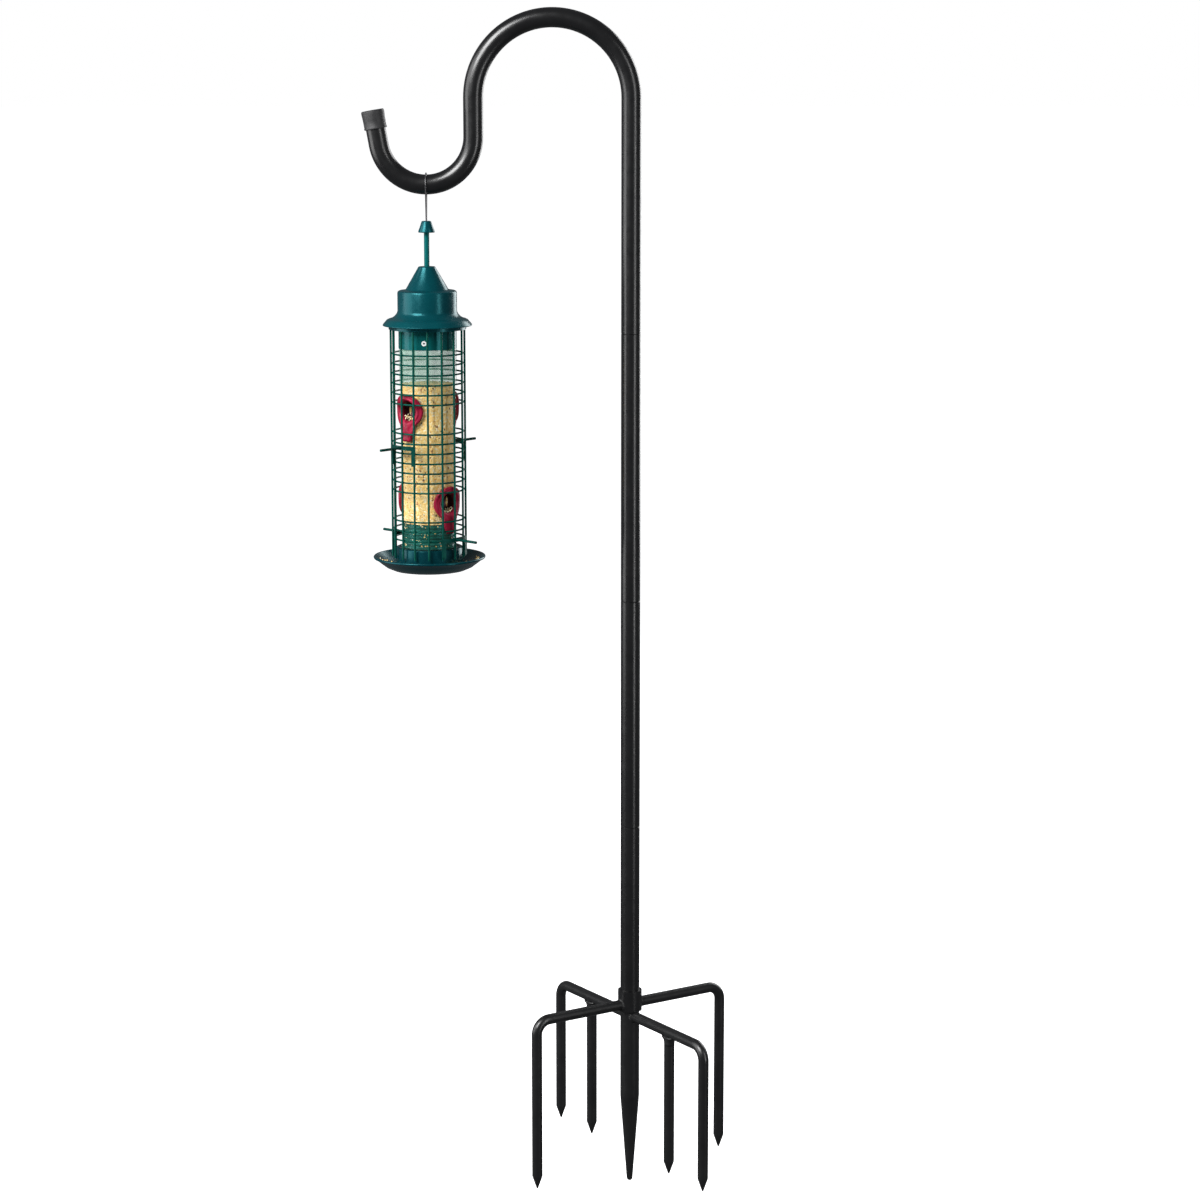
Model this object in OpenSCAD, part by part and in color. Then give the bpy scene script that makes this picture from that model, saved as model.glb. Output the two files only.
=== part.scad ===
// Hanging tube feeder with a sliding wire shroud, on a sectional crook pole
// with a seven-pronged ground base. Millimetres, +Z up, ground line at z = 0.

/* [Pole] */
// Outside diameter of the pole tube
pole_d = 22; // [18:0.5:26]
// Wall thickness of the pole tube
pole_wall = 1.2; // [1:0.1:2]
// Height of the joint above the lower section
joint_low = 230; // [180:5:260]
// Height of the joint above the middle section
joint_mid = 492; // [440:2:540]
// Height of the joint under the crook
joint_top = 794; // [740:2:820]
// Length of each push-fit spigot
spigot_len = 45; // [30:1:60]

/* [Crook] */
// Centreline radius of the large bend
crook_r = 87; // [80:1:95]
// Height of the centre of the large bend
crook_z = 1053.5; // [1045:0.5:1060]
// Centreline radius of the small hook
hook_r = 52.5; // [48:0.5:56]
// Height of the centre of the small hook
hook_z = 1011.4; // [1008:0.1:1016]
// Outward lean of the hook's tip in degrees
tip_lean = 10; // [0:1:20]
// Length of the straight tip past the hook
tip_len = 36; // [28:1:44]
// Outside diameter of the tip's rubber cap
cap_d = 26; // [25:0.5:28]
// Length of the rubber cap
cap_len = 21; // [16:1:24]

/* [Base] */
// Diameter of the round bar in the prongs
prong_d = 12; // [10:0.5:12]
// Bend radius of the prongs at their centreline
prong_bend = 16; // [14:1:20]
// Distance from the pole to the upper prongs
upper_reach = 127; // [115:1:140]
// Distance from the pole to the outer lower prongs
lower_reach = 148; // [135:1:150]
// Distance from the pole to the inner lower prongs
inner_reach = 80.5; // [70:0.5:90]
// Direction of the upper prongs in degrees
upper_turn = 33.3; // [30:0.1:40]
// Depth of the upper prongs' tips
upper_depth = 179; // [160:1:190]
// Depth of the lower prongs' tips
lower_depth = 162; // [150:1:180]
// Depth of the spike's tip
spike_depth = 195; // [180:1:210]
// Length of each prong's point
point_len = 15; // [10:1:20]

/* [Feeder] */
// Inside radius of the seed tube
tube_ri = 30; // [29.9:0.1:30.2]
// Outside radius of the seed tube
tube_ro = 32.2; // [32:0.1:32.3]
// Height of the seed tube's foot
tube_foot = 554.8; // [553:0.2:556]
// Height of the seed tube's top
tube_top = 778.2; // [776:0.2:780]
// Height of the seed inside the tube
seed_level = 738; // [700:1:750]
// Height of the upper feeding ports
port_high = 710; // [706:1:714]
// Height of the lower feeding ports
port_low = 606.5; // [603:0.5:610]
// Radius of a feeding port's opening
port_hole = 11; // [9:0.5:11]
// Radius of a feeding port's flared rim
port_rim = 19; // [17:0.5:20]
// Radius of the tray's rim
tray_r = 63; // [60:1:66]
// Height of the tray's rim
tray_z = 544.5; // [543:0.5:546]

/* [Shroud] */
// Radius of the circle of upright wires
cage_r = 41; // [40.5:0.1:41]
// Number of upright wires
upright_count = 16; // [16:1:16]
// Diameter of an upright wire
upright_d = 2.4; // [2:0.1:2.4]
// Diameter of a ring wire
ring_d = 2; // [1.6:0.1:2]
// Vertical distance between rings
ring_pitch = 10.92; // [10.8:0.02:11]
// Height of the highest ring
ring_first = 772.6; // [771:0.2:774]
// How far the shroud drops to close the ports
shroud_travel = 12; // [8:0.5:12]
// Distance from the axis to a perch's tip
perch_reach = 74; // [65:1:80]

/* [Hidden] */
$fn = 64;

pole_r = pole_d / 2;
edge_cut = 0.5;
bore_r = pole_r - pole_wall;
spigot_r = bore_r - 0.1;
spigot_ri = spigot_r - pole_wall;
prong_r = prong_d / 2;
lower_level = prong_r;
upper_level = 19.6;
spike_shoulder = 2 * prong_r;
collar_ro = 13.8;
collar_top = 36.5;
collar_gap = 0.3;
spike_taper_top = -91;
spike_tip_r = 3.5;
prong_tip_r = 0.8;
lower_turn = upper_turn - 90;

hook_x = -2 * crook_r - hook_r;
hook_seat_z = hook_z - hook_r;
feeder_x = hook_x;

wire_r = 0.8;
wire_loop_r = pole_r + 0.6 + wire_r;
wire_foot_y = 3.2;
wire_knee_z = 921;
wire_foot_z = 912;
rod_r = 3;
rod_neck_r = 2.2;
bell_foot = 906.2;
bell_top = 918.9;

front_turn = -42.5;
side_turn = 47.5;
collar_r = 32.4;
collar_lip = 803;
collar_neck_top = 812;
collar_neck_r = 30.4;
slot_w = 8.6;
slot_foot = 787;
seat_foot = 778.5;
seat_top = 781;
ring_low = 799.5;
ring_high = 803;
ring_ri = 38.5;
ring_ro = 43.2;
bridge_low = 797.5;
bridge_w = 8;
hub_r = 37.5;
tray_foot = 528.5;
tray_floor = 530.5;
drain_r = 6;
base_top = 583;
upright_foot = 544.2;
ring_centre_r = cage_r - upright_d / 2 - ring_d / 2 + 0.3;
ring_slots = [0, 1, 2, 3, 4, 5, 8, 9, 10, 11, 12, 13, 14, 17, 18, 19];
perch_drop = 40;
perch_rod_r = 1.5;
band_ri = cage_r + upright_d / 2;
band_ro = band_ri + 2;
band_h = 4.5;
tab_half = 3;
tab_h = 22;
upright_step = 360 / upright_count;

// Each feeding port's heading and height
PORTS = [
    [front_turn, port_high],
    [front_turn + 180, port_high],
    [side_turn, port_low],
    [side_turn + 180, port_low]
];
throat_r = port_hole + 1.5;
throat_in = 19;
throat_len = 14;
funnel_thick = 3.2;
tongue_drop = 34;

rivet_z = 786;
rivet_turn = -4;
rivet_r = 1.8;
rivet_bore_r = 1.1;
rivet_head_r = 2.8;
rivet_head_out = 0.7;
seat_rim = 2.2;
seat_hub_r = 7;
seat_high = 12.5;
spoke_w = 4;

spring_r = 5;
spring_wire = 0.5;
spring_turns = 4;
spring_sides = 8;
spring_steps = 20 * spring_turns;
spring_low = seat_top + spring_wire;
spring_high = bridge_low - spring_wire;

// The wire loop in its own [y, z] plane: an arc over the hook, two legs and a foot through the rod
wire_sides = 8;
wire_knee_r = 6;
wire_corner_r = 1;
wire_lean = atan2(wire_loop_r - wire_foot_y, hook_seat_z - wire_knee_z);
wire_corner_y = wire_foot_y - wire_corner_r;
wire_corner_z = wire_foot_z + wire_corner_r;
wire_route = concat(
    wire_arc(0, hook_seat_z, wire_loop_r, -wire_lean, 180 + wire_lean, 28),
    wire_arc(-wire_foot_y - wire_knee_r, wire_knee_z, wire_knee_r, wire_lean, 0, 2),
    wire_arc(-wire_corner_y, wire_corner_z, wire_corner_r, 180, 270, 4),
    wire_arc(wire_corner_y, wire_corner_z, wire_corner_r, 270, 360, 4),
    wire_arc(wire_foot_y + wire_knee_r, wire_knee_z, wire_knee_r, 180, 180 - wire_lean, 2)
);

module at_feeder() {
    translate([feeder_x, 0, 0]) children();
}

// Turns what is made along +X to a heading: 0 is -Y, and positive turns towards +X
module heading(angle) {
    rotate([0, 0, angle - 90]) children();
}

// A tube section with a reduced spigot at its top
module pole_section(low, high) {
    rotate_extrude() polygon([
        [bore_r, low],
        [pole_r - edge_cut, low],
        [pole_r, low + edge_cut],
        [pole_r, high - edge_cut],
        [pole_r - edge_cut, high],
        [spigot_r, high],
        [spigot_r, high + spigot_len],
        [spigot_ri, high + spigot_len],
        [spigot_ri, high - pole_wall - 3],
        [bore_r, high - pole_wall - 5]
    ]);
}

// An arc of round bar in the XZ plane about [x, z]
module bend(x, z, r, from, sweep, bar_r) {
    translate([x, 0, z]) rotate([90, 0, 0]) rotate([0, 0, from])
        rotate_extrude(angle = sweep) translate([r, 0]) circle(bar_r);
}

// The tube's section, about x = r
module tube_section(r) {
    translate([r, 0]) difference() {
        circle(pole_r);
        circle(bore_r);
    }
}

module pole_tube(length) {
    difference() {
        cylinder(r = pole_r, h = length);
        translate([0, 0, -1]) cylinder(r = bore_r, h = length + 2);
    }
}

module at_tip(rise) {
    translate([hook_x - hook_r * cos(tip_lean), 0, hook_z - hook_r * sin(tip_lean)])
        rotate([0, -tip_lean, 0]) translate([0, 0, rise]) children();
}

// A pointed round bar hanging down from z = 0
module prong(length) {
    translate([0, 0, point_len - length]) cylinder(r = prong_r, h = length - point_len);
    translate([0, 0, -length]) cylinder(r1 = prong_tip_r, r2 = prong_r, h = point_len);
}

// A horizontal bar that bends down into a prong
module prong_arm(reach, level, depth, root_r) {
    difference() {
        union() {
            translate([0, 0, level]) rotate([0, 90, 0]) cylinder(r = prong_r, h = reach - prong_bend);
            bend(reach - prong_bend, level - prong_bend, prong_bend, 0, 90, prong_r);
            translate([reach, 0, level - prong_bend]) prong(level - prong_bend + depth);
        }
        translate([0, 0, level - 2 * prong_d]) cylinder(r = root_r, h = 4 * prong_d);
    }
}

module inner_prong() {
    difference() {
        translate([inner_reach, 0, lower_level]) prong(lower_level + lower_depth);
        translate([0, 0, lower_level]) rotate([0, 90, 0]) cylinder(r = prong_r, h = 2 * inner_reach);
    }
}

module ground_spike() {
    color("#1a1a1c") union() {
        translate([0, 0, spike_taper_top]) cylinder(r = pole_r, h = spike_shoulder - spike_taper_top);
        translate([0, 0, spike_tip_r - spike_depth])
            cylinder(r1 = spike_tip_r, r2 = pole_r, h = spike_taper_top + spike_depth - spike_tip_r);
        translate([0, 0, spike_tip_r - spike_depth]) sphere(spike_tip_r);
        cylinder(r = spigot_r, h = spike_shoulder + spigot_len);
    }
}

module tine_arm_front_right() {
    color("#1c1c1e") rotate([0, 0, lower_turn]) prong_arm(lower_reach, lower_level, lower_depth, pole_r);
}

module inner_tine_front_right() {
    color("#222224") rotate([0, 0, lower_turn]) inner_prong();
}

module tine_arm_back_left() {
    color("#1c1c1e") rotate([0, 0, lower_turn + 180])
        prong_arm(lower_reach, lower_level, lower_depth, pole_r);
}

module inner_tine_back_left() {
    color("#222224") rotate([0, 0, lower_turn + 180]) inner_prong();
}

module swivel_collar() {
    color("#262628") translate([0, 0, spike_shoulder + collar_gap]) difference() {
        cylinder(r = collar_ro, h = collar_top - spike_shoulder - collar_gap);
        translate([0, 0, -1]) cylinder(r = pole_r + 0.08, h = 2 * collar_top);
    }
}

module tine_arm_front_left() {
    color("#1c1c1e") rotate([0, 0, upper_turn + 180])
        prong_arm(upper_reach, upper_level, upper_depth, collar_ro);
}

module tine_arm_back_right() {
    color("#1c1c1e") rotate([0, 0, upper_turn]) prong_arm(upper_reach, upper_level, upper_depth, collar_ro);
}

module lower_pole() {
    color("#1b1b1d") pole_section(spike_shoulder, joint_low);
}

module middle_pole() {
    color("#1e1e20") pole_section(joint_low, joint_mid);
}

module upper_pole() {
    color("#1b1b1d") pole_section(joint_mid, joint_top);
}

module hook_pole() {
    color("#1e1e20") union() {
        rotate_extrude() polygon([
            [bore_r, joint_top],
            [pole_r - edge_cut, joint_top],
            [pole_r, joint_top + edge_cut],
            [pole_r, crook_z],
            [bore_r, crook_z]
        ]);
        translate([-crook_r, 0, crook_z]) rotate([90, 0, 0])
            rotate_extrude(angle = 180, $fn = 48) tube_section(crook_r);
        translate([-2 * crook_r, 0, hook_z]) pole_tube(crook_z - hook_z);
    }
}

// The small hook and its leaning tip, which carry on from the large bend
module hook_tip() {
    color("#1e1e20") translate([hook_x, 0, hook_z]) rotate([90, 0, 0]) rotate([0, 0, tip_lean - 180]) {
        rotate_extrude(angle = 180 - tip_lean, $fn = 48) tube_section(hook_r);
        translate([hook_r, 0, 0]) rotate([90, 0, 0]) pole_tube(tip_len);
    }
}

module hook_end_cap() {
    color("#2a2a2c") at_tip(tip_len + 2.5 - cap_len) difference() {
        cylinder(r = cap_d / 2, h = cap_len);
        translate([0, 0, -1]) cylinder(r = pole_r, h = cap_len - 1.5);
    }
}

// Points along an arc about [y, z]
function wire_arc(y, z, r, from, to, steps) =
    [for (i = [0 : steps]) let (a = from + (to - from) * i / steps) [y + r * cos(a), z + r * sin(a)]];

// The points round the wire at point i of its route
function wire_ring(i) = let (
    n = len(wire_route),
    here = wire_route[i],
    ahead = wire_route[(i + 1) % n],
    behind = wire_route[(i + n - 1) % n],
    along = (ahead - behind) / norm(ahead - behind)
) [for (k = [0 : wire_sides - 1]) let (b = 360 * k / wire_sides)
    [wire_r * cos(b), here[0] - wire_r * sin(b) * along[1], here[1] + wire_r * sin(b) * along[0]]];

module hanger_wire() {
    n = len(wire_route);
    points = [for (i = [0 : n - 1]) each wire_ring(i)];
    sides = [for (i = [0 : n - 1], k = [0 : wire_sides - 1])
        let (m = (k + 1) % wire_sides, j = (i + 1) % n)
        [i * wire_sides + k, i * wire_sides + m, j * wire_sides + m, j * wire_sides + k]];
    color("#303032") at_feeder() polyhedron(points, sides);
}

module hanger_bell() {
    color("#0f5f5c") at_feeder() difference() {
        translate([0, 0, bell_foot]) cylinder(r1 = 9.3, r2 = 5.2, h = bell_top - bell_foot);
        translate([0, 0, bell_foot - 1]) cylinder(r = rod_r, h = 5);
        translate([0, 0, bell_foot + 2]) cylinder(r = 4.4, h = 20);
    }
}

module hanger_rod() {
    color("#13706c") at_feeder() difference() {
        union() {
            translate([0, 0, seat_foot]) cylinder(r = rod_r, h = bell_foot + 2 - seat_foot);
            translate([0, 0, bell_foot]) cylinder(r = rod_neck_r, h = 9.8);
        }
        translate([0, 10, wire_foot_z]) rotate([90, 0, 0]) cylinder(r = wire_r + 0.1, h = 20);
    }
}

module lid() {
    color("#0e6663") at_feeder() difference() {
        rotate_extrude() polygon([
            [rod_r + 0.08, 868.7],
            [9.2, 868.7],
            [9.8, 868],
            [24, 842.7],
            [31.8, 841.4],
            [33.1, 840],
            [33.1, 817.5],
            [34.4, 815.6],
            [40.3, 811],
            [45.2, 809.8],
            [50, 804],
            [49.6, 803.3],
            [31.2, 803.3],
            [31.2, 838.5],
            [22, 840.2],
            [8, 864],
            [6, 864],
            [6, 850],
            [rod_r + 0.08, 850]
        ]);
        translate([0, 0, 802]) difference() {
            cylinder(r = 43.8, h = 6);
            translate([0, 0, -1]) cylinder(r = 34, h = 8);
        }
    }
}

// The slot that the shroud's bridge slides in
module bridge_slot() {
    translate([-50, -slot_w / 2, slot_foot]) cube([100, slot_w, 40]);
}

module tube_collar() {
    color("#0e5f5a") at_feeder() difference() {
        rotate_extrude() polygon([
            [tube_ri, tube_top],
            [collar_r, tube_top],
            [collar_r, 800],
            [collar_r + 0.8, 801],
            [collar_r + 0.8, 802],
            [collar_r - 0.2, collar_lip - 0.2],
            [collar_neck_r, collar_lip - 0.2],
            [collar_neck_r, collar_neck_top],
            [28.6, collar_neck_top],
            [28.6, 800],
            [tube_ri, 798]
        ]);
        bridge_slot();
        rivet_holes();
    }
}

module rivet_holes() {
    rotate([0, 0, rivet_turn]) translate([0, hub_r, rivet_z]) rotate([90, 0, 0]) cylinder(r = rivet_r, h = 2 * hub_r);
}

// Two hollow rivets, one at the front and one at the back
module collar_rivets() {
    color("#e4e6e6") at_feeder() for (side = [0, 180]) difference() {
        rotate([0, 0, rivet_turn + side]) translate([0, -collar_r - rivet_head_out, rivet_z])
            rotate([-90, 0, 0]) cylinder(r = rivet_head_r, h = 5);
        rotate([0, 0, rivet_turn]) translate([0, -hub_r, rivet_z]) rotate([-90, 0, 0])
            cylinder(r = rivet_bore_r, h = 2 * hub_r);
        difference() {
            translate([0, 0, rivet_z - 6]) cylinder(r = collar_r, h = 12);
            rivet_holes();
        }
    }
}

// The spider inside the collar that the return spring stands on
module spring_seat() {
    color("#12504c") at_feeder() difference() {
        union() {
            translate([0, 0, seat_foot]) difference() {
                cylinder(r = tube_ri, h = seat_high);
                translate([0, 0, -1]) cylinder(r = tube_ri - seat_rim, h = seat_high + 2);
            }
            translate([0, 0, seat_foot]) cylinder(r = seat_hub_r, h = seat_top - seat_foot);
            for (turn = [90, 210, 330]) rotate([0, 0, turn])
                translate([0, -spoke_w / 2, seat_foot]) cube([tube_ri - 1, spoke_w, seat_top - seat_foot]);
        }
        translate([0, 0, seat_foot - 1]) cylinder(r = rod_r, h = seat_high + 2);
        bridge_slot();
        rivet_holes();
    }
}

// The points round the spring's wire at step i of its helix
function spring_ring(i) = let (a = 360 * spring_turns * i / spring_steps)
    [for (k = [0 : spring_sides - 1]) let (b = 360 * k / spring_sides, r = spring_r + spring_wire * cos(b))
        [r * cos(a), r * sin(a), spring_low + spring_wire * sin(b)
            + (spring_high - spring_low) * i / spring_steps]];

module return_spring() {
    points = [for (i = [0 : spring_steps]) each spring_ring(i)];
    sides = [for (i = [0 : spring_steps - 1], k = [0 : spring_sides - 1]) let (n = (k + 1) % spring_sides)
        [i * spring_sides + k, (i + 1) * spring_sides + k, (i + 1) * spring_sides + n, i * spring_sides + n]];
    ends = [
        [for (k = [0 : spring_sides - 1]) k],
        [for (k = [spring_sides - 1 : -1 : 0]) spring_steps * spring_sides + k]
    ];
    color("#c8cacc") at_feeder() polyhedron(points, concat(sides, ends));
}

// Round holes for all four throats
module port_throats(r) {
    for (p = PORTS) heading(p[0]) translate([throat_in, 0, p[1]]) rotate([0, 90, 0]) cylinder(r = r, h = 30);
}

module seed_tube() {
    color("#cfe8df", 0.4) at_feeder() difference() {
        translate([0, 0, tube_foot]) cylinder(r = tube_ro, h = tube_top - tube_foot);
        translate([0, 0, tube_foot - 1]) cylinder(r = tube_ri, h = tube_top - tube_foot + 2);
        port_throats(throat_r);
    }
}

module seed_fill() {
    color("#dcae62") at_feeder() difference() {
        translate([0, 0, base_top]) cylinder(r = tube_ri - 0.3, h = seed_level - base_top);
        port_throats(throat_r);
    }
}

// A round funnel with a tapered tongue, wrapped on the tube, and its throat into the seed
module port(p) {
    color("#a81f38") at_feeder() heading(p[0]) translate([0, 0, p[1]]) difference() {
        union() {
            intersection() {
                union() {
                    translate([tube_ri - 5, 0, 0]) rotate([0, 90, 0]) cylinder(r = port_rim, h = 20);
                    translate([tube_ri - 5, 0, 0]) rotate([90, 0, 90]) linear_extrude(20)
                        polygon([[-12, -12], [-5, -tongue_drop], [5, -tongue_drop], [12, -12]]);
                }
                difference() {
                    translate([0, 0, -tongue_drop - 6])
                        cylinder(r = tube_ro + funnel_thick, h = 2 * tongue_drop);
                    translate([0, 0, -tongue_drop - 7]) cylinder(r = tube_ro, h = 2 * tongue_drop + 2);
                }
            }
            translate([throat_in, 0, 0]) rotate([0, 90, 0]) cylinder(r = throat_r, h = throat_len);
        }
        translate([throat_in - 1, 0, 0]) rotate([0, 90, 0]) cylinder(r = port_hole, h = 2 * throat_len);
    }
}

module port_upper_front() { port(PORTS[0]); }
module port_upper_back() { port(PORTS[1]); }
module port_lower_front() { port(PORTS[2]); }
module port_lower_back() { port(PORTS[3]); }

module tube_base() {
    color("#0d5a50") at_feeder() difference() {
        translate([0, 0, tube_foot]) cylinder(r = tube_ri, h = base_top - tube_foot);
        translate([0, 0, tube_foot - 1]) cylinder(r = tube_ri - 2.5, h = base_top - tube_foot - 2);
        port_throats(throat_r);
    }
}

module seed_tray() {
    color("#0c5a5c") at_feeder() rotate_extrude() polygon([
        [drain_r, tray_foot],
        [40, tray_foot],
        [49, 530.6],
        [56, 536.6],
        [61.4, 541.8],
        [tray_r, 542.6],
        [tray_r, tray_z - 0.6],
        [tray_r - 0.6, tray_z],
        [61.2, tray_z],
        [60, 543.4],
        [54.6, 538.4],
        [48, 532.8],
        [42.5, tray_floor],
        [hub_r, tray_floor],
        [hub_r, tube_foot - 0.8],
        [hub_r - 0.8, tube_foot],
        [0, tube_foot],
        [0, tube_foot - 2],
        [hub_r - 2, tube_foot - 2],
        [hub_r - 2, tray_floor],
        [drain_r, tray_floor]
    ]);
}

module shroud_ring() {
    color("#0a4a48") at_feeder() translate([0, 0, ring_low]) difference() {
        cylinder(r = ring_ro, h = ring_high - ring_low);
        translate([0, 0, -1]) cylinder(r = ring_ri, h = 10);
    }
}

module shroud_bridge() {
    color("#0f5450") at_feeder() difference() {
        union() {
            intersection() {
                translate([-50, -bridge_w / 2, ring_low]) cube([100, bridge_w, ring_high - ring_low]);
                translate([0, 0, ring_low]) cylinder(r = ring_ri, h = 10);
            }
            translate([0, 0, bridge_low]) cylinder(r = 7, h = 9);
        }
        translate([0, 0, bridge_low - 1]) cylinder(r = rod_r + 0.08, h = 20);
    }
}

module cage_uprights() {
    color("#0f6a5c") at_feeder() for (i = [0 : upright_count - 1]) heading(front_turn + i * upright_step)
        translate([cage_r, 0, upright_foot])
            cylinder(r = upright_d / 2, h = ring_low - upright_foot, $fn = 24);
}

module cage_rings() {
    color("#0f7565") at_feeder() for (i = ring_slots) translate([0, 0, ring_first - i * ring_pitch])
        rotate_extrude() translate([ring_centre_r, 0]) circle(ring_d / 2, $fn = 24);
}

// A short band outside the shroud, with a tab down each of its two uprights
module perch_bracket() {
    half = upright_step + tab_half;
    rotate([0, 0, -half]) difference() {
        rotate_extrude(angle = 2 * half) translate([band_ri, band_h / 2 - tab_h])
            square([band_ro - band_ri, tab_h]);
        rotate([0, 0, 2 * tab_half]) rotate_extrude(angle = 2 * half - 4 * tab_half)
            translate([band_ri - 1, -tab_h]) square([band_ro - band_ri + 2, tab_h - band_h / 2]);
    }
}

module perch(p) {
    level = p[1] - perch_drop;
    color("#0c5048") at_feeder() heading(p[0]) translate([0, 0, level]) union() {
        perch_bracket();
        translate([band_ri + 1, 0, 0]) rotate([0, 90, 0])
            cylinder(r = perch_rod_r, h = perch_reach - band_ri - 1);
    }
}

module perch_upper_front() { perch(PORTS[0]); }
module perch_upper_back() { perch(PORTS[1]); }
module perch_lower_front() { perch(PORTS[2]); }
module perch_lower_back() { perch(PORTS[3]); }

ground_spike();
tine_arm_front_right();
inner_tine_front_right();
tine_arm_back_left();
inner_tine_back_left();
swivel_collar();
tine_arm_front_left();
tine_arm_back_right();
lower_pole();
middle_pole();
upper_pole();
hook_pole();
hook_tip();
hook_end_cap();
hanger_wire();
hanger_bell();
hanger_rod();
lid();
tube_collar();
collar_rivets();
spring_seat();
return_spring();
seed_tube();
seed_fill();
tube_base();
seed_tray();
port_upper_front();
port_upper_back();
port_lower_front();
port_lower_back();
shroud_ring();
shroud_bridge();
cage_uprights();
cage_rings();
perch_upper_front();
perch_upper_back();
perch_lower_front();
perch_lower_back();
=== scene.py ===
import math
import random

import bmesh
import bpy
from mathutils import Euler, Matrix, Vector


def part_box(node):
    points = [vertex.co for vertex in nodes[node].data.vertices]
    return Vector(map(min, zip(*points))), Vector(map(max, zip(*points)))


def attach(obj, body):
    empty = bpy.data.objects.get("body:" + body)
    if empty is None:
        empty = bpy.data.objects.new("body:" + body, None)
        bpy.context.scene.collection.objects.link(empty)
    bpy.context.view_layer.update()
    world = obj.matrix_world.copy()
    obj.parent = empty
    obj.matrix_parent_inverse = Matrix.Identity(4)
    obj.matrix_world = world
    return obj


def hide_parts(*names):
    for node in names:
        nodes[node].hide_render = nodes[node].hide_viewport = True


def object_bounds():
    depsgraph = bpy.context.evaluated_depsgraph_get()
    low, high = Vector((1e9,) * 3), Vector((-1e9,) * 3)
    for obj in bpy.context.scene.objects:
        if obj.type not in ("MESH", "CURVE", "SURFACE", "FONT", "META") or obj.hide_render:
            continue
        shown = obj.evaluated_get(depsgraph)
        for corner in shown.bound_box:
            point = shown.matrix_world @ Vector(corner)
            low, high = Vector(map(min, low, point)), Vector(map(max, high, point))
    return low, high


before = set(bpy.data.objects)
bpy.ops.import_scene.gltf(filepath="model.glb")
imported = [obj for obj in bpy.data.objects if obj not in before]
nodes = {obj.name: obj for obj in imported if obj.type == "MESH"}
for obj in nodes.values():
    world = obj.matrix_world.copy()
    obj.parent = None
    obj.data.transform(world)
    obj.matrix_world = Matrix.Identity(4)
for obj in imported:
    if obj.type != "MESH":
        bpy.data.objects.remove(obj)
cad_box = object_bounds()

MM = 0.001
tube_low, tube_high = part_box("seed_tube")
FEEDER_X = (tube_low[0] + tube_high[0]) / 2
FEEDER_AXIS = (FEEDER_X, 0, 0)
TUBE_R = (tube_high[0] - tube_low[0]) / 2

# From here, values are in millimetres and degrees unless a comment says otherwise.
# A heading is the turn from the front, -Y, towards +X.

# circle of the cage's upright wires, the turn from one to the next, and one wire's heading
WIRE_CIRCLE = 41
WIRE_STEP = 22.5
FRONT_WIRE = -42.5
# heading and height of each feeding port, under its CAD node's name
PORTS = {
    "port_upper_front": (-42.5, 710),
    "port_upper_back": (137.5, 710),
    "port_lower_front": (47.5, 606.5),
    "port_lower_back": (227.5, 606.5),
}
# round edge of a port, and the tongue below it: half width at mid height, narrowing and drop
PORT_R = 19
TONGUE_HALF = 15.82
TONGUE_TAPER = 0.318
TONGUE_DROP = 34
# bottom and top of the seed in the tube, and the radius that its outer grains lie at
SEED_FOOT = 583.6
SEED_TOP = 737.6
GRAIN_CIRCLE = 29.3
# heading of the upper fork, and how far out the inner prongs leave the lower bars
UPPER_TURN = 33.3
INNER_PRONG = 80.5


# --- Camera, floor and light ---------------------------------------------------------------

# in metres
CAMERA_PLACE = (-0.0345, -3.5, 1.1165)
CAMERA_AIM = (-0.0345, 0, 0.493)
LIGHT_AIM = (-0.1, 0, 0.6)


def aim_at(thing, target):
    """Puts a placed camera or light in the scene, turned towards a point."""
    aim = Vector(target) - thing.location
    thing.rotation_euler = aim.to_track_quat("-Z", "Y").to_euler()
    bpy.context.collection.objects.link(thing)


def studio_camera():
    data = bpy.data.cameras.new("camera")
    data.lens = 94.4
    data.sensor_width = 36
    camera = bpy.data.objects.new("camera", data)
    camera.location = CAMERA_PLACE
    aim_at(camera, CAMERA_AIM)
    bpy.context.scene.camera = camera


def soft_box(name, turn, distance, height, width, tall, watts):
    """A rectangular light at a heading, with its distance, height and sides in metres."""
    data = bpy.data.lights.new(name, "AREA")
    data.shape = "RECTANGLE"
    data.size = width
    data.size_y = tall
    data.energy = watts
    light = bpy.data.objects.new(name, data)
    a = math.radians(turn)
    light.location = (LIGHT_AIM[0] + distance * math.sin(a), -distance * math.cos(a), height)
    aim_at(light, LIGHT_AIM)


def pale_surroundings():
    """White to look at; what it sheds on the object is dim and a little blue."""
    world = bpy.data.worlds.new("surroundings")
    world.use_nodes = True
    bpy.context.scene.world = world
    tree = world.node_tree
    tree.nodes.clear()
    out = tree.nodes.new("ShaderNodeOutputWorld")
    mix = tree.nodes.new("ShaderNodeMixShader")
    rays = tree.nodes.new("ShaderNodeLightPath")
    room = tree.nodes.new("ShaderNodeBackground")
    room.inputs["Color"].default_value = (0.93, 0.96, 1, 1)
    room.inputs["Strength"].default_value = 0.14
    paper = tree.nodes.new("ShaderNodeBackground")
    paper.inputs["Color"].default_value = (1, 1, 1, 1)
    tree.links.new(rays.outputs["Is Camera Ray"], mix.inputs["Fac"])
    tree.links.new(room.outputs[0], mix.inputs[1])
    tree.links.new(paper.outputs[0], mix.inputs[2])
    tree.links.new(mix.outputs[0], out.inputs["Surface"])


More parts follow.
